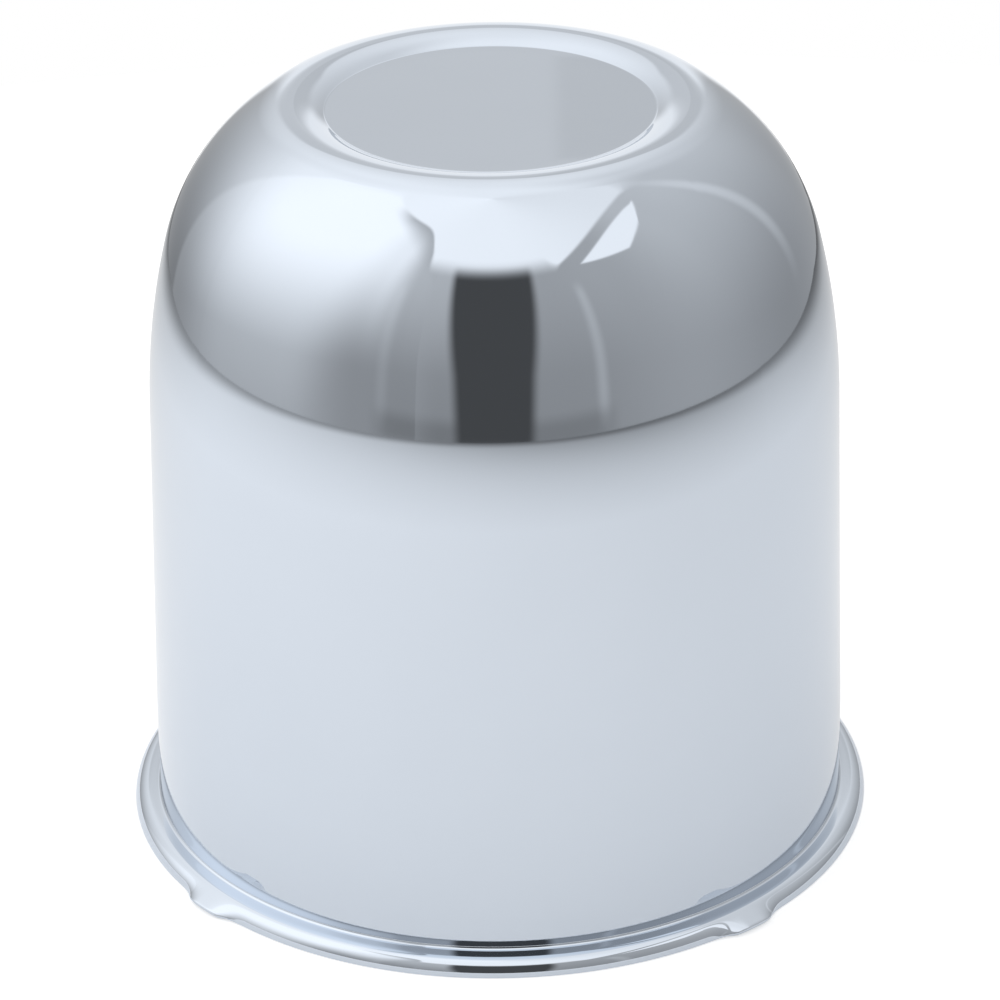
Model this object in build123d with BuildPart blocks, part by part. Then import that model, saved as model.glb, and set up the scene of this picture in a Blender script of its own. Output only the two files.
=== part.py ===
from build123d import *
from math import acos, asin, atan2, cos, degrees, hypot, radians, sin, sqrt, tan
import os

# Center cap of a wheel: one cup, deep drawn from steel sheet and chrome plated.
# It pushes through the wheel's bore from behind, until its flange stops it.
# Here it stands on the flange's lip. The origin is in the middle of the lip's edge,
# and +Z runs up the axis to the crown. Lengths are in millimetres, angles in degrees.

# Sheet and overall height
sheet = 0.9  # thickness of the steel
cap_height = 116.8  # edge of the lip to the crest

# Wall: a straight pilot that centres the cap in the wheel's bore, then a slight lean inwards
pilot_diameter = 107.8
pilot_height = 12.0
wall_lean = 1.4

# Dome: three tangent arcs on the outside, the last of them levelling off at the crest
shoulder_radius = 113.0
shoulder_turn = 12.6
brow_radius = 35.3
brow_turn = 42.5
crest_radius = 8.1

# Crown: a flat round disc, sunk below the crest inside a ring that slopes down to a crisp corner
ring_width = 5.5
recess_depth = 1.35

# Flange: a bevelled corner at the wall's foot, a narrow flat seat, a sloping brim and a rolled lip
corner_bevel = 0.5
seat_width = 1.0
roll_radius = 2.6

# Ears: rounded lobes, where the brim runs on straight instead of rolling down to the lip
ear_count = 4
first_ear_angle = 40.0
ear_width = 11.0  # where an ear's outline crosses the rim
ear_reach = 1.8  # from the rim out to an ear's tip
ear_clearance = 0.1  # from the lip's edge up to an ear's tip

# Worked out from the sizes above
pilot_radius = pilot_diameter / 2
roll_centre = pilot_radius + corner_bevel + seat_width
rim_radius = roll_centre + roll_radius

wall_slope = 90 - wall_lean
shoulder_slope = wall_slope - shoulder_turn
brow_slope = shoulder_slope - brow_turn
shoulder_rise = shoulder_radius * (cos(radians(shoulder_slope)) - cos(radians(wall_slope)))
brow_rise = brow_radius * (cos(radians(brow_slope)) - cos(radians(shoulder_slope)))
crest_rise = crest_radius * (1 - cos(radians(brow_slope)))
pilot_top = roll_radius + corner_bevel + pilot_height
wall_top = cap_height - shoulder_rise - brow_rise - crest_rise
wall_length = (wall_top - pilot_top) / sin(radians(wall_slope))
ring_slope = degrees(2 * atan2(recess_depth, ring_width))
ring_radius = ring_width / sin(radians(ring_slope))

ear_tip = rim_radius + ear_reach
ear_swell = ear_tip - sqrt(rim_radius**2 - (ear_width / 2) ** 2)
ear_radius = ((ear_width / 2) ** 2 + ear_swell**2) / (2 * ear_swell)
ear_centre = ear_tip - ear_radius
flare_run = roll_radius + ear_reach
fall_angle = degrees(atan2(ear_clearance, flare_run))
brim_slope = degrees(asin((roll_radius - sheet) / hypot(flare_run, ear_clearance))) - fall_angle


def on_roll(radius, slope):
    """Point at this radius from the centre of the roll's section, in line with where it has this slope."""
    return Vector(roll_centre + radius * sin(radians(slope)), radius * cos(radians(slope)))


def draw_cup(inset):
    """Draw one side of the sheet, set in this far, and return its ends at the brim and the axis."""
    roll = roll_radius - inset
    radius = pilot_radius - inset
    bevel_end = corner_bevel - inset * tan(radians(45 / 2))
    brim = Line(on_roll(roll, brim_slope), (roll_centre + roll * tan(radians(brim_slope / 2)), roll))
    seat = Line(brim @ 1, (pilot_radius + bevel_end, roll))
    corner = Line(seat @ 1, (radius, roll_radius + bevel_end))
    bend_loss = inset * tan(radians(wall_lean / 2))
    pilot = Line(corner @ 1, (radius, pilot_top - bend_loss))
    wall = PolarLine(pilot @ 1, wall_length - bend_loss, 90 + wall_lean)
    shoulder = JernArc(wall @ 1, wall % 1, shoulder_radius - inset, shoulder_turn)
    brow = JernArc(shoulder @ 1, shoulder % 1, brow_radius - inset, brow_turn)
    crest = JernArc(brow @ 1, brow % 1, crest_radius - inset, brow_slope)
    ring_turn = degrees(acos((ring_radius * cos(radians(ring_slope)) - inset) / (ring_radius - inset)))
    ring = JernArc(crest @ 1, crest % 1, ring_radius - inset, ring_turn)
    disc = Line(ring @ 1, (0, (ring @ 1).Y))
    return brim @ 0, disc @ 1


# One ear, on +X: the brim goes straight on where the roll starts, and is trimmed to a round lobe
with BuildPart() as ear:
    with BuildSketch(Plane.XZ.rotated((0, 0, -90))):
        with BuildLine():
            top_root = on_roll(roll_radius, brim_slope)
            bottom_root = on_roll(roll_radius - sheet, brim_slope)
            flare = Vector(cos(radians(brim_slope)), -sin(radians(brim_slope))) * 2 * flare_run
            Polyline(top_root, top_root + flare, bottom_root + flare, bottom_root, close=True)
        make_face()
    revolve(axis=Axis.Z, revolution_arc=180)
    with BuildSketch():
        with Locations((ear_centre, 0)):
            Circle(ear_radius)
    extrude(amount=roll_radius, mode=Mode.INTERSECT)

# The lip: the brim rolls on until it points down, all round but for the ears. Its inside is bevelled
with BuildPart() as lip:
    with BuildSketch(Plane.XZ):
        with BuildLine():
            outside = CenterArc((roll_centre, 0), roll_radius, 0, 90 - brim_slope)
            bevel_step = (90 - brim_slope) / 4
            bevel_reach = (roll_radius - sheet) / cos(radians(bevel_step))
            inside = Polyline(
                on_roll(roll_radius - sheet, 90),
                on_roll(bevel_reach, 90 - bevel_step),
                on_roll(bevel_reach, brim_slope + bevel_step),
                on_roll(roll_radius - sheet, brim_slope),
            )
            Line(inside @ 0, outside @ 0)
            Line(inside @ 1, outside @ 1)
        make_face()
    revolve(axis=Axis.Z)
    with BuildSketch():
        with PolarLocations(ear_centre, ear_count, first_ear_angle):
            Circle(ear_radius)
    extrude(amount=roll_radius, mode=Mode.SUBTRACT)

# The cap's section, its inside drawn as its outside is, one sheet further in
with BuildPart() as shell:
    with BuildSketch(Plane.XZ):
        with BuildLine():
            outer_root, outer_centre = draw_cup(0)
            inner_root, inner_centre = draw_cup(sheet)
            Line(outer_root, inner_root)
            Line(outer_centre, inner_centre)
        make_face()
    revolve(axis=Axis.Z)
    with PolarLocations(0, ear_count, first_ear_angle):
        add(ear.part)
    add(lip.part)

shell.part.label = "cap_shell"

os.makedirs("parts", exist_ok=True)
export_step(shell.part, "parts/cap_shell.step")
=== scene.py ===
from math import acos, atan2, cos, degrees, hypot, pi, radians, sin, tan

import bpy
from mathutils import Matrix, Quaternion, Vector


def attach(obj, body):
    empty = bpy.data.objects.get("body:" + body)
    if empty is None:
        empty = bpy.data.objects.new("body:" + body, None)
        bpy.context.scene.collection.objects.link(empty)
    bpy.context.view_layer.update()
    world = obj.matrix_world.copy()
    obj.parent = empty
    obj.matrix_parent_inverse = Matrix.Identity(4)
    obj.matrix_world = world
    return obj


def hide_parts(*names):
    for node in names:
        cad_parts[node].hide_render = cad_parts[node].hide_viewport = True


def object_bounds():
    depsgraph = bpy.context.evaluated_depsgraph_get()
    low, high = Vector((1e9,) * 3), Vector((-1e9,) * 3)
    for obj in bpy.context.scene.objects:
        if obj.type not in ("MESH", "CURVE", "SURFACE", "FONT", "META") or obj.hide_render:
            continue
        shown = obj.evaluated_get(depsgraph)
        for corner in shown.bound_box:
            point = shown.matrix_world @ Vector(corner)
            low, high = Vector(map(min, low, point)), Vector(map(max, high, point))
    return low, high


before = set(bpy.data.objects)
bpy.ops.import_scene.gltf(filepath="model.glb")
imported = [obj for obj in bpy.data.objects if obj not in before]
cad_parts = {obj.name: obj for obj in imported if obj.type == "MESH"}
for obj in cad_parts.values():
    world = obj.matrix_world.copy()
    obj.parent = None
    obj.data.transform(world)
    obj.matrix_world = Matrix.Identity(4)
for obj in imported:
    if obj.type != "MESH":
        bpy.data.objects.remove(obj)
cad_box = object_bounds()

# A chrome center cap standing on a pale table, in a white light tent.
# Lengths are in metres, angles in degrees. +Z runs up the cap's axis, and -Y points to the camera.

# Sizes of the cap, as in the solid model
box_margin = 0.000005  # keeps the rim inside the solid's box
cap_height = cad_box[1][2]
rim_radius = cad_box[1][0] - box_margin
sheet = 0.0009
pilot_radius = 0.0539
roll_radius = 0.0026
pilot_top = 0.0151
wall_lean = 1.4
shoulder_radius = 0.113
shoulder_turn = 12.6
brow_radius = 0.0353
brow_turn = 42.5
crest_radius = 0.0081
ring_width = 0.0055
recess_depth = 0.00135
ear_count = 4
first_ear_angle = 40.0
ear_width = 0.011
ear_reach = 0.0018
ear_clearance = 0.0001

# An ear is at its full reach over the first share of half its width, and has faded out at the second
ear_full_share = 0.2
ear_fade_share = 1.45

# Small roundings that the solid model has as bevels or crisp edges
corner_radius = 0.0005
disc_corner_radius = 0.0008
pilot_blend_radius = 0.4
edge_radius = 0.00025

# Fineness of the mesh
outside_fineness = 1.0
inside_fineness = 0.6
disc_share = 0.98  # of the disc's radius in rows, with a fan of triangles inside them
bend_steps = 4  # over the part of the brim's edge that is alike all round
edge_steps = 14  # from there to the sheet's edge
bead_turns = (30, 60, 90)
column_step = 2.0
ear_column_step = 0.4
ear_column_span = 9.5  # to each side of an ear's middle
length_trials = 40
table_slack = 1e-6

# Worked out from the sizes above
turn_radius = roll_radius - edge_radius
roll_centre = rim_radius - turn_radius
crest_turn = 90 - wall_lean - shoulder_turn - brow_turn
ring_slope = degrees(2 * atan2(recess_depth, ring_width))
ring_radius = ring_width / sin(radians(ring_slope)) - disc_corner_radius
ear_spacing = 360 / ear_count
ear_half_angle = degrees(atan2(ear_width / 2, rim_radius))
ear_tip = rim_radius + ear_reach
flare_run = roll_radius + ear_reach
flare_drop = (roll_radius - sheet) / hypot(flare_run, ear_clearance)
brim_slope = 90 - degrees(acos(flare_drop)) - degrees(atan2(ear_clearance, flare_run))


class Pen:
    """Draws a section as points (radius, height), going forward in tangent lines and arcs."""

    def __init__(self, radius, height, heading):
        self.points = [(radius, height)]
        self.heading = heading  # degrees from outwards, counter-clockwise

    def line(self, length, steps):
        radius, height = self.points[-1]
        for step in range(1, steps + 1):
            run = length * step / steps
            along = radians(self.heading)
            self.points.append((radius + run * cos(along), height + run * sin(along)))

    def arc(self, radius, turn, steps):
        """Turn left by a positive angle, and right by a negative one."""
        for step in range(steps):
            chord = 2 * radius * sin(radians(abs(turn)) / steps / 2)
            self.heading += turn / steps / 2
            self.line(chord, 1)
            self.heading += turn / steps / 2


def cup_outline(inset, fineness):
    """Points of one side of the sheet, from the top of the brim's roll up to the axis."""

    def steps(count):
        return max(2, round(count * fineness))

    pen = Pen(roll_centre, roll_radius - inset, 180)
    pen.line(roll_centre - pilot_radius - corner_radius, steps(3))
    pen.arc(corner_radius + inset, -90, steps(16))
    blend_half = pilot_blend_radius * tan(radians(wall_lean / 2))
    pen.line(pilot_top - blend_half - corner_radius - roll_radius, steps(4))
    pen.arc(pilot_blend_radius - inset, wall_lean, steps(6))
    dome = [
        (shoulder_radius, shoulder_turn, 16),
        (brow_radius, brow_turn, 30),
        (crest_radius, crest_turn, 20),
    ]
    dome_rise = 0
    slope = 90 - wall_lean
    for radius, turn, count in dome:
        dome_rise += radius * (cos(radians(slope - turn)) - cos(radians(slope)))
        slope -= turn
    blend_rise = pilot_blend_radius * sin(radians(wall_lean))
    wall_rise = cap_height - dome_rise - pilot_top + blend_half - blend_rise
    pen.line(wall_rise / cos(radians(wall_lean)), steps(24))
    for radius, turn, count in dome:
        pen.arc(radius - inset, turn, steps(count))
    pen.arc(ring_radius - inset, ring_slope, steps(14))
    pen.arc(disc_corner_radius + inset, -ring_slope, steps(8))
    disc_radius = pen.points[-1][0]
    pen.line(disc_radius * disc_share, steps(10))
    return pen.points


def edge_path(share):
    """Outside of the brim's edge, as its points and the heading at each.

    A share of 0 rolls down to the lip, and a share of 1 runs straight on as an ear.
    In between, the edge is as long as it can be without dipping into the table.
    """
    root = roll_centre + turn_radius * sin(radians(brim_slope))
    lip_length = turn_radius * radians(90 - brim_slope)
    tip_length = (ear_tip - edge_radius - root) / cos(radians(brim_slope))
    turn = (90 - brim_slope) * (1 - share)
    long = lip_length + (tip_length - lip_length) * share
    short = 0
    length = long
    for _ in range(length_trials):
        pen = Pen(roll_centre, roll_radius, 0)
        pen.arc(turn_radius, -brim_slope, bend_steps)
        headings = [-brim_slope * step / bend_steps for step in range(1, bend_steps + 1)]
        for step in range(edge_steps):
            pen.heading -= turn / edge_steps / 2
            pen.line(length / edge_steps, 1)
            pen.heading -= turn / edge_steps / 2
            headings.append(pen.heading)
        height = pen.points[-1][1]
        down = edge_radius * sin(radians(-pen.heading))
        lowest = min(height, height - sheet * cos(radians(pen.heading))) - down
        if lowest >= -table_slack:
            short = length
        else:
            long = length
        if short == long:
            break
        length = (short + long) / 2
    return pen.points[1:], headings


def smoothstep(value, low, high):
    share = min(max((value - low) / (high - low), 0), 1)
    return share * share * (3 - 2 * share)


def off_ear(angle):
    """Angle from the middle of the nearest ear."""
    return abs((angle - first_ear_angle + ear_spacing / 2) % ear_spacing - ear_spacing / 2)


def ear_share(angle):
    """How far the brim is an ear at an angle round the axis, from 0 to 1."""
    return 1 - smoothstep(off_ear(angle), ear_half_angle * ear_full_share, ear_half_angle * ear_fade_share)


def edge_points(share):
    """The brim's edge at one angle: down the outside, round the sheet's edge and back up the inside."""
    outside, headings = edge_path(share)
    inside = []
    for (radius, height), heading in zip(outside, headings):
        lean = radians(heading)
        inside.append((radius + sheet * sin(lean), height - sheet * cos(lean)))
    start = Vector(outside[-1])
    across = (Vector(inside[-1]) - start) / sheet
    along = Vector((cos(radians(headings[-1])), sin(radians(headings[-1]))))
    bead = []
    for turn in bead_turns:
        forward = along * sin(radians(turn))
        bead.append(start + edge_radius * (forward + across * (1 - cos(radians(turn)))))
    for turn in reversed(bead_turns):
        forward = along * sin(radians(turn))
        bead.append(start + across * sheet + edge_radius * (forward - across * (1 - cos(radians(turn)))))
    above_table = [(point[0], max(point[1], 0.0)) for point in bead]
    return outside + above_table + inside[::-1]


def column_angles():
    """Angles round the axis, close together at the ears."""
    angles = []
    angle = 0.0
    while angle < 360 - 1e-6:
        angles.append(angle)
        angle += ear_column_step if off_ear(angle) < ear_column_span else column_step
    return angles


def make_object(name, vertices, faces):
    mesh = bpy.data.meshes.new(name)
    mesh.from_pydata(vertices, [], faces)
    mesh.update()
    thing = bpy.data.objects.new(name, mesh)
    bpy.context.collection.objects.link(thing)
    return thing


def make_cap():
    """The whole cap as one closed mesh, turned about the axis, with ears on its brim."""
    outer = cup_outline(0, outside_fineness)
    inner = cup_outline(sheet, inside_fineness)
    angles = column_angles()
    vertices = []
    for angle in angles:
        column = outer[::-1] + edge_points(ear_share(angle)) + inner
        turn = radians(angle)
        vertices += [(r * cos(turn), r * sin(turn), z) for r, z in column]
    rows = len(vertices) // len(angles)
    inside_from = rows - len(inner)
    faces = []
    inside = []
    for column in range(len(angles)):
        here = column * rows
        there = (column + 1) % len(angles) * rows
        for row in range(rows - 1):
            faces.append((here + row, here + row + 1, there + row + 1, there + row))
            inside.append(row >= inside_from)
    for row, height, is_inside in ((0, outer[-1][1], False), (rows - 1, inner[-1][1], True)):
        centre = len(vertices)
        vertices.append((0, 0, height))
        for column in range(len(angles)):
            here = column * rows + row
            there = (column + 1) % len(angles) * rows + row
            faces.append((here, centre, there) if is_inside else (here, there, centre))
            inside.append(is_inside)
    cap = make_object("chrome_cap", vertices, faces)
    cap.data.polygons.foreach_set("use_smooth", [True] * len(faces))
    cap.data.polygons.foreach_set("material_index", [int(flag) for flag in inside])
    cap.data.update()
    return cap


class Nodes:
    """Short names for building a node tree."""

    def __init__(self, tree):
        self.tree = tree
        tree.nodes.clear()

    def add(self, kind, **settings):
        node = self.tree.nodes.new(kind)
        for name, value in settings.items():
            setattr(node, name, value)
        return node

    def feed(self, socket, value):
        if isinstance(value, bpy.types.NodeSocket):
            self.tree.links.new(value, socket)
        else:
            socket.default_value = value

    def math(self, operation, *values):
        node = self.add("ShaderNodeMath", operation=operation)
        for socket, value in zip(node.inputs, values):
            self.feed(socket, value)
        return node.outputs[0]

    def mix(self, start, end, share):
        return self.math("MULTIPLY_ADD", self.math("SUBTRACT", end, start), share, start)

    def rise(self, value, low, high):
        """0 at low, 1 at high, and a soft step between them."""
        node = self.add("ShaderNodeMapRange", interpolation_type="SMOOTHSTEP")
        for name, number in (("Value", value), ("From Min", low), ("From Max", high)):
            self.feed(node.inputs[name], number)
        return node.outputs[0]

    def fall(self, value, low, high):
        """1 at low, 0 at high, and a soft step between them."""
        return self.math("SUBTRACT", 1.0, self.rise(value, low, high))

    def within(self, value, low, high, soft):
        """1 between two fixed limits and 0 outside them, with soft edges."""
        return self.math(
            "MULTIPLY",
            self.rise(value, low - soft, low + soft),
            self.fall(value, high - soft, high + soft),
        )

    def profile(self, share, stops):
        """A smooth curve through (share, level) stops, over shares from 0 to 1."""
        lowest = min(level for _, level in stops)  # a ramp's tones can't be negative
        node = self.add("ShaderNodeValToRGB")
        ramp = node.color_ramp
        ramp.interpolation = "EASE"
        ramp.elements.remove(ramp.elements[1])
        ramp.elements[0].position = stops[0][0]
        for position, _ in stops[1:]:
            ramp.elements.new(position)
        for element, (_, level) in zip(ramp.elements, stops):
            tone = level - lowest
            element.color = (tone, tone, tone, 1)
        self.feed(node.inputs["Fac"], share)
        return self.math("ADD", node.outputs["Color"], lowest)


def make_metal(name, grain, detail, roughness, roughness_spread, dark, light):
    """Bare metal, with its tone and roughness varied by noise that has so much grain to the metre."""
    material = bpy.data.materials.new(name)
    material.use_nodes = True
    nodes = Nodes(material.node_tree)
    stretch = nodes.add("ShaderNodeMapping")
    stretch.inputs["Scale"].default_value = grain
    nodes.feed(stretch.inputs["Vector"], nodes.add("ShaderNodeTexCoord").outputs["Object"])
    noise = nodes.add("ShaderNodeTexNoise")
    noise.inputs["Scale"].default_value = 1.0
    noise.inputs["Detail"].default_value = detail
    nodes.feed(noise.inputs["Vector"], stretch.outputs["Vector"])
    tone = nodes.add("ShaderNodeMix", data_type="RGBA")
    nodes.feed(tone.inputs["Factor"], noise.outputs["Fac"])
    tone.inputs["A"].default_value = (*dark, 1)
    tone.inputs["B"].default_value = (*light, 1)
    shader = nodes.add("ShaderNodeBsdfPrincipled")
    shader.inputs["Metallic"].default_value = 1.0
    dullness = nodes.math("MULTIPLY_ADD", noise.outputs["Fac"], roughness_spread, roughness)
    nodes.feed(shader.inputs["Roughness"], dullness)
    nodes.feed(shader.inputs["Base Color"], tone.outputs["Result"])
    output = nodes.add("ShaderNodeOutputMaterial")
    nodes.feed(output.inputs["Surface"], shader.outputs["BSDF"])
    return material


def make_chrome():
    """Bright chrome plate: a cool mirror, hazed a little by polishing."""
    return make_metal(
        "chrome",
        grain=(60, 60, 60),
        detail=4.0,
        roughness=0.02,
        roughness_spread=0.03,
        dark=(0.645, 0.70, 0.775),
        light=(0.665, 0.72, 0.795),
    )


def make_inside():
    """The inside of the cup, where the plate is thin: dull grey steel with faint drawing marks."""
    return make_metal(
        "thin_plate",
        grain=(400, 400, 12),
        detail=3.0,
        roughness=0.22,
        roughness_spread=0.2,
        dark=(0.42, 0.44, 0.46),
        light=(0.56, 0.58, 0.60),
    )


# Light tent. Azimuth 0 is towards the camera, and goes up to the picture's right.
# Levels are brightness, where 1 is white. A list round the tent has (azimuth, value) stops.

# Cloth walls, which brighten from the foot's level to the top's between two elevations
wall_foot_levels = [
    (-180, 0.52), (-135, 0.34), (-100, 0.50), (-70, 0.50), (-45, 0.36), (-25, 0.32),
    (25, 0.34), (70, 0.43), (120, 0.34), (150, 0.40), (180, 0.52),
]
wall_top_levels = [
    (-180, 1.08), (-150, 1.22), (-105, 1.36), (-65, 1.35), (-46, 1.18), (-32, 0.64), (-22, 0.60),
    (22, 0.46), (50, 0.49), (90, 0.65), (120, 0.70), (150, 0.84), (180, 1.08),
]
climb_starts = [(-75, -20), (-45, -2), (-20, -14)]
climb_ends = [(-150, 54), (-105, 37), (-50, 56), (-20, 52)]

# Back corner of the left wall, which leans, and past which the cloth is dimmer
corner_lean = -0.27
corner_azimuths = (-137.0, -134.0)
corner_fade = (-185.0, -150.0)
corner_dimming = 0.1

# Seams of the cloth, as thin light lines:
# azimuth, lean, half width, softness, lowest and highest elevation, softness of the ends and glow
seams = [
    (35.5, 0.0, 1.6, 1.6, -6.0, 40.0, 4.0, 0.12),
    (-37.0, 0.0, 1.6, 1.6, -6.0, 40.0, 4.0, 0.05),
    (124.2, 0.18, 2.0, 1.6, 0.0, 50.0, 14.0, 0.16),
]

# Dark hem at the foot of the front walls
hem_half = 38.0
hem_end_softness = 4.0
hem_elevations = (-9.0, -5.0)
hem_softness = 1.5
hem_dimming = 0.08

# White flap of the roof's cloth over the right wall, lowest at a corner and bowed along its top
right_middle = 82.0
flap_corner = 68.0
flap_corner_elevation = 45.5
flap_left_climb = 0.12
flap_right_climb = 0.31
flap_foot_softness = 1.2
flap_top = 57.9
flap_top_bow = 1 / 187
flap_top_softness = 1.0
flap_azimuths = (40.0, 104.0)
flap_end_softness = 1.0
flap_level = 1.17

# Grey fold of the left wall's top, darker upwards. Its edges curve down as
# start azimuth, length, power, drop and elevation at the start
fold_top_curve = (-65.0, 33.0, 4.0, 13.0, 69.0)
fold_foot_curve = (-96.0, 64.0, 2.6, 17.0, 65.0)
fold_top_softness = 1.0
fold_azimuths = (-78.0, -31.0)
fold_end_softness = 14.0
fold_level = 0.55

# Roof, with a soft edge in front, crisp ones over the side walls and none at the back
roof_levels = [(-180, 1.16), (-75, 1.26), (0, 1.20), (105, 1.05), (180, 1.16)]
roof_softness = [
    (-120, 11.0), (-98, 0.8), (-36, 0.8), (-28, 5.0), (27, 5.0), (34, 0.8), (104, 0.8), (122, 11.0),
]
roof_front_edge = 52.8
roof_back_edge = 62.0
roof_right_edge = 61.5
roof_right_bow = 1 / 244
front_to_right = (27.0, 33.0)
right_to_back = (106.0, 122.0)
left_to_front = (-34.0, -29.0)
back_to_left = (-120.0, -100.0)

# White sheet low down behind, and over it a grey card in two tones
behind_half = 11.0
behind_softness = 3.0
white_sheet_fade = (20.0, 14.0)
white_sheet_level = 1.05
card_foot = (17.0, 22.0)
card_top = (32.0, 29.5)
card_levels = (0.73, 0.67)
card_tone_step = (0.7, 1.0)

# Dark gap that the camera looks through, wider at its top
gap_half_width = 13.1
gap_widening = 0.1
gap_softness = 2.2
gap_elevations = (-40.0, 51.3)
gap_end_softness = 4.0
gap_level = 0.079


class Tent:
    """Brightness of the light tent by direction. Each part is laid over those before it."""

    def __init__(self, nodes):
        self.nodes = nodes
        aim = nodes.add("ShaderNodeSeparateXYZ")
        nodes.feed(aim.inputs[0], nodes.add("ShaderNodeTexCoord").outputs["Generated"])
        x, y, z = aim.outputs
        to_degrees = 180 / pi
        front_angle = nodes.math("ARCTAN2", x, nodes.math("MULTIPLY", y, -1.0))
        self.azimuth = nodes.math("MULTIPLY", front_angle, to_degrees)
        self.turn_share = nodes.math("MULTIPLY_ADD", self.azimuth, 1 / 360, 0.5)
        self.elevation = nodes.math("MULTIPLY", nodes.math("ARCSINE", z), to_degrees)
        self.off_front = nodes.math("ABSOLUTE", self.azimuth)
        self.off_back = nodes.math("MULTIPLY", nodes.math("ARCTAN2", x, y), to_degrees)
        from_middle = nodes.math("SUBTRACT", self.azimuth, right_middle)
        self.bow = nodes.math("MULTIPLY", from_middle, from_middle)
        self.fold_top = self.curve_down(*fold_top_curve)
        self.level = None

    def around(self, stops):
        """A smooth curve through (azimuth, value) stops."""
        return self.nodes.profile(self.turn_share, [(azimuth / 360 + 0.5, value) for azimuth, value in stops])

    def curve_down(self, start, length, power, drop, elevation):
        """An edge that is level up to an azimuth, and curves down from there."""
        past = self.nodes.math("MAXIMUM", self.nodes.math("SUBTRACT", self.azimuth, start), 0.0)
        share = self.nodes.math("POWER", self.nodes.math("DIVIDE", past, length), power)
        return self.nodes.math("MULTIPLY_ADD", share, -drop, elevation)

    def slant(self, lean):
        """Azimuth as measured from a line that leans by so much for each degree of elevation."""
        return self.nodes.math("MULTIPLY_ADD", self.elevation, lean, self.azimuth)

    def lighten(self, amount, *shares):
        self.level = self.nodes.math("MULTIPLY_ADD", self.nodes.math("MULTIPLY", *shares), amount, self.level)

    def cover(self, level, share):
        self.level = self.nodes.mix(self.level, level, share)

    def walls(self):
        climb = self.nodes.rise(self.elevation, self.around(climb_starts), self.around(climb_ends))
        self.level = self.nodes.mix(self.around(wall_foot_levels), self.around(wall_top_levels), climb)

    def back_corner(self):
        slant = self.slant(corner_lean)
        past = self.nodes.fall(slant, *corner_azimuths)
        self.lighten(-corner_dimming, past, self.nodes.rise(slant, *corner_fade))

    def cloth_seams(self):
        for azimuth, lean, half, soft, low, high, end_soft, glow in seams:
            line = self.nodes.within(self.slant(lean), azimuth - half, azimuth + half, soft)
            self.lighten(glow, line, self.nodes.within(self.elevation, low, high, end_soft))

    def hem(self):
        front = self.nodes.within(self.off_front, 0.0, hem_half, hem_end_softness)
        self.lighten(-hem_dimming, front, self.nodes.within(self.elevation, *hem_elevations, hem_softness))

    def flap(self):
        nodes = self.nodes
        past = nodes.math("MAXIMUM", nodes.math("SUBTRACT", self.azimuth, flap_corner), 0.0)
        before = nodes.math("MAXIMUM", nodes.math("SUBTRACT", flap_corner, self.azimuth), 0.0)
        foot = nodes.math("MULTIPLY_ADD", past, flap_right_climb, flap_corner_elevation)
        foot = nodes.math("MULTIPLY_ADD", before, flap_left_climb, foot)
        top = nodes.math("MULTIPLY_ADD", self.bow, -flap_top_bow, flap_top)
        above_foot = nodes.rise(self.elevation, foot, nodes.math("ADD", foot, flap_foot_softness))
        under_top = nodes.fall(self.elevation, nodes.math("SUBTRACT", top, flap_top_softness), top)
        ends = nodes.within(self.azimuth, *flap_azimuths, flap_end_softness)
        self.cover(flap_level, nodes.math("MULTIPLY", nodes.math("MULTIPLY", above_foot, under_top), ends))

    def fold(self):
        nodes = self.nodes
        foot = self.curve_down(*fold_foot_curve)
        darkening = nodes.rise(self.elevation, foot, nodes.math("ADD", self.fold_top, fold_top_softness))
        ends = nodes.within(self.azimuth, *fold_azimuths, fold_end_softness)
        self.cover(fold_level, nodes.math("MULTIPLY", darkening, ends))

    def roof(self):
        nodes = self.nodes
        right_edge = nodes.math("MULTIPLY_ADD", self.bow, -roof_right_bow, roof_right_edge)
        edge = nodes.mix(roof_front_edge, right_edge, nodes.rise(self.azimuth, *front_to_right))
        edge = nodes.mix(edge, roof_back_edge, nodes.rise(self.azimuth, *right_to_back))
        edge = nodes.mix(self.fold_top, edge, nodes.rise(self.azimuth, *left_to_front))
        edge = nodes.mix(roof_back_edge, edge, nodes.rise(self.azimuth, *back_to_left))
        soft = self.around(roof_softness)
        above = nodes.rise(self.elevation, nodes.math("SUBTRACT", edge, soft), nodes.math("ADD", edge, soft))
        self.cover(self.around(roof_levels), above)

    def sheets_behind(self):
        nodes = self.nodes
        behind = nodes.within(self.off_back, -behind_half, behind_half, behind_softness)
        low = nodes.rise(self.elevation, *white_sheet_fade)
        self.cover(white_sheet_level, nodes.math("MULTIPLY", behind, low))
        card = nodes.math(
            "MULTIPLY", nodes.rise(self.elevation, *card_foot), nodes.rise(self.elevation, *card_top)
        )
        tone = nodes.mix(*card_levels, nodes.rise(self.off_back, *card_tone_step))
        self.cover(tone, nodes.math("MULTIPLY", behind, card))

    def gap(self):
        nodes = self.nodes
        half = nodes.math("MULTIPLY_ADD", self.elevation, gap_widening, gap_half_width)
        inner = nodes.math("SUBTRACT", half, gap_softness)
        outer = nodes.math("ADD", half, gap_softness)
        ends = nodes.within(self.elevation, *gap_elevations, gap_end_softness)
        self.cover(gap_level, nodes.math("MULTIPLY", nodes.fall(self.off_front, inner, outer), ends))


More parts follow.
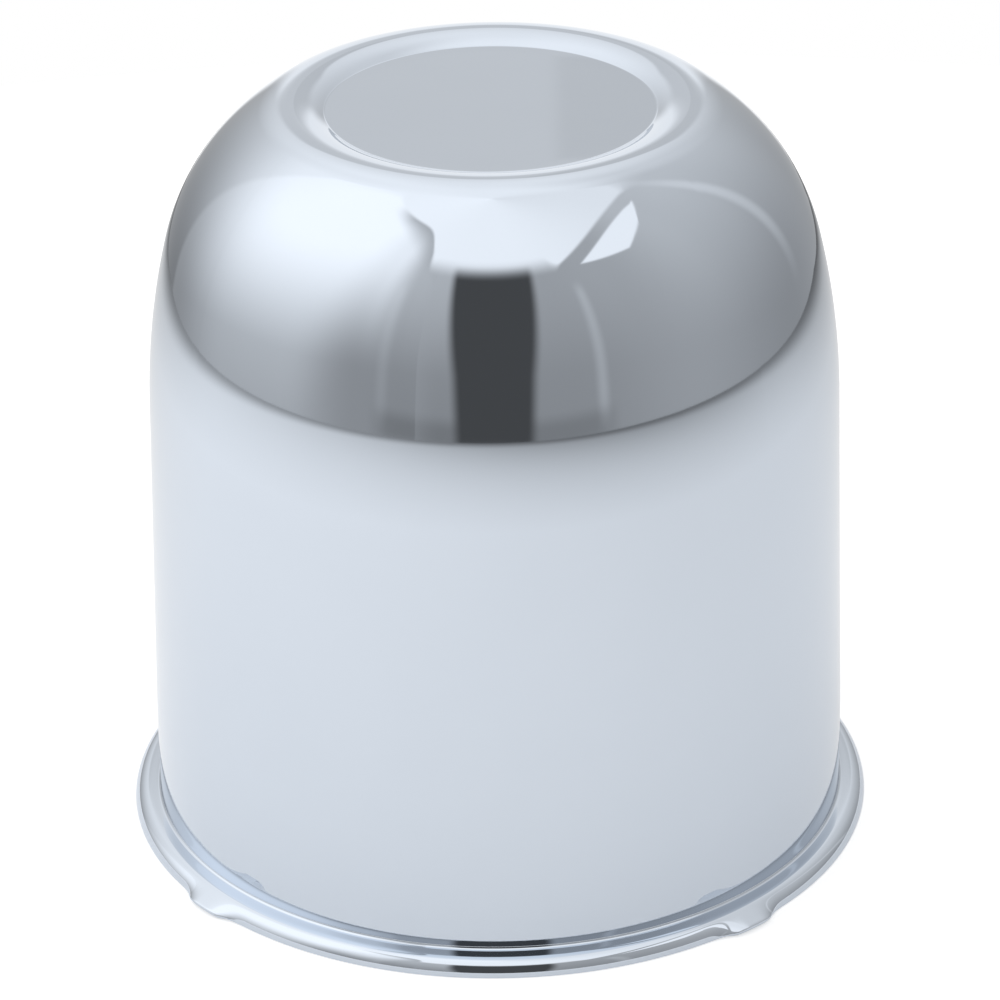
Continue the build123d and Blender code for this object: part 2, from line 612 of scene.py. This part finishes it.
def make_tent():
    """The world: a white light tent with a dark gap in front, white to the camera."""
    world = bpy.data.worlds.new("light_tent")
    world.use_nodes = True
    bpy.context.scene.world = world
    nodes = Nodes(world.node_tree)
    tent = Tent(nodes)
    tent.walls()
    tent.back_corner()
    tent.cloth_seams()
    tent.hem()
    tent.flap()
    tent.fold()
    tent.roof()
    tent.sheets_behind()
    tent.gap()
    camera_ray = nodes.add("ShaderNodeLightPath").outputs["Is Camera Ray"]
    background = nodes.add("ShaderNodeBackground")
    nodes.feed(background.inputs["Color"], nodes.mix(tent.level, 1.0, camera_ray))
    output = nodes.add("ShaderNodeOutputWorld")
    nodes.feed(output.inputs["Surface"], background.outputs["Background"])


# Table: a round pale top, reaching to the tent's walls, with painted light and shade: painted brighter near
# the cap and painted darker towards the walls and to the right
table_centre = (0.01, -0.17)
table_radius = 0.485
table_steps = 128
# Painted light and shade on the table: a painted pool of light near the cap, and painted shade farther off,
# to the right, behind and at the edge
near_reach = 0.22
far_painted_shade = 1.25
right_painted_shade = 0.42
back_painted_shade = 6.5
edge_shade = 0.07
edge_level = 0.45
table_paleness = 0.75
mirror_glow = 0.31
camera_glow = 0.55


def table_painted_light(nodes):
    """Painted light and shade over the table, from 1 near the cap, painted darker farther off, to the right,
    behind and near its edge.
    """
    place = nodes.add("ShaderNodeTexCoord").outputs["Object"]
    parts = nodes.add("ShaderNodeSeparateXYZ")
    nodes.feed(parts.inputs[0], place)
    length = nodes.add("ShaderNodeVectorMath", operation="LENGTH")
    nodes.feed(length.inputs[0], place)
    # Painted shade: darker past the near reach, to the right and behind, and near the edge below
    far = nodes.math("MAXIMUM", nodes.math("SUBTRACT", length.outputs["Value"], near_reach), 0.0)
    tone = nodes.math("MULTIPLY_ADD", far, -far_painted_shade, 1.0)
    tone = nodes.math("MULTIPLY_ADD", parts.outputs["X"], -right_painted_shade, tone)
    behind = nodes.math("MAXIMUM", parts.outputs["Y"], 0.0)
    tone = nodes.math("MULTIPLY_ADD", nodes.math("MULTIPLY", behind, behind), -back_painted_shade, tone)
    offset = nodes.add("ShaderNodeVectorMath", operation="DISTANCE")
    nodes.feed(offset.inputs[0], place)
    offset.inputs[1].default_value = (*table_centre, 0)
    inwards = nodes.math("SUBTRACT", table_radius, offset.outputs["Value"])
    shade = nodes.mix(edge_level, 1.0, nodes.rise(inwards, 0.0, edge_shade))
    return nodes.math("MULTIPLY", tone, shade)


def make_table():
    """A pale table top, white to the camera, with painted light and shade on its glow in mirrors and on its
    colour, and with the object's shadow on it.
    """
    middle = Vector((*table_centre, 0))
    vertices = [middle]
    for step in range(table_steps):
        turn = 2 * pi * step / table_steps
        vertices.append(middle + table_radius * Vector((cos(turn), sin(turn), 0)))
    faces = [(0, 1 + step, 1 + (step + 1) % table_steps) for step in range(table_steps)]
    table = make_object("table", vertices, faces)

    material = bpy.data.materials.new("pale_table")
    material.use_nodes = True
    nodes = Nodes(material.node_tree)
    dimmed = table_painted_light(nodes)
    path = nodes.add("ShaderNodeLightPath")
    camera_ray = path.outputs["Is Camera Ray"]
    shown = nodes.math("MAXIMUM", camera_ray, path.outputs["Is Glossy Ray"])
    shown = nodes.math("MAXIMUM", shown, path.outputs["Is Transmission Ray"])
    # Painted light: seen in mirrors, the table glows with its painted light and shade; to the camera it glows
    # evenly
    strength = nodes.mix(nodes.math("MULTIPLY", dimmed, mirror_glow), camera_glow, camera_ray)
    glow = nodes.add("ShaderNodeEmission")
    nodes.feed(glow.inputs["Strength"], nodes.math("MULTIPLY", strength, shown))
    top = nodes.add("ShaderNodeBsdfDiffuse")
    # Painted shade: for rays other than the camera's, the table's colour carries the same painted light and
    # shade
    tone = nodes.mix(dimmed, 1.0, camera_ray)
    nodes.feed(top.inputs["Color"], nodes.math("MULTIPLY", tone, table_paleness))
    both = nodes.add("ShaderNodeAddShader")
    nodes.feed(both.inputs[0], glow.outputs[0])
    nodes.feed(both.inputs[1], top.outputs[0])
    output = nodes.add("ShaderNodeOutputMaterial")
    nodes.feed(output.inputs["Surface"], both.outputs[0])
    table.data.materials.append(material)


# Camera, at the photograph's place
camera_place = Vector((0.00061, -0.6210, 0.3671))
camera_target = Vector((0.00061, 0, 0.0501))
camera_roll = -0.76
camera_lens = 162.3
camera_sensor = 36.0


def make_camera():
    data = bpy.data.cameras.new("camera")
    data.lens = camera_lens
    data.sensor_width = camera_sensor
    camera = bpy.data.objects.new("camera", data)
    aim = (camera_target - camera_place).to_track_quat("-Z", "Y")
    camera.rotation_mode = "QUATERNION"
    camera.rotation_quaternion = aim @ Quaternion((0, 0, 1), radians(camera_roll))
    camera.location = camera_place
    bpy.context.collection.objects.link(camera)
    bpy.context.scene.camera = camera


cap = make_cap()
cap.data.materials.append(make_chrome())
cap.data.materials.append(make_inside())
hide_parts("cap_shell")
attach(cap, "root")
make_table()
make_tent()
make_camera()
bpy.context.scene.view_settings.view_transform = "Standard"
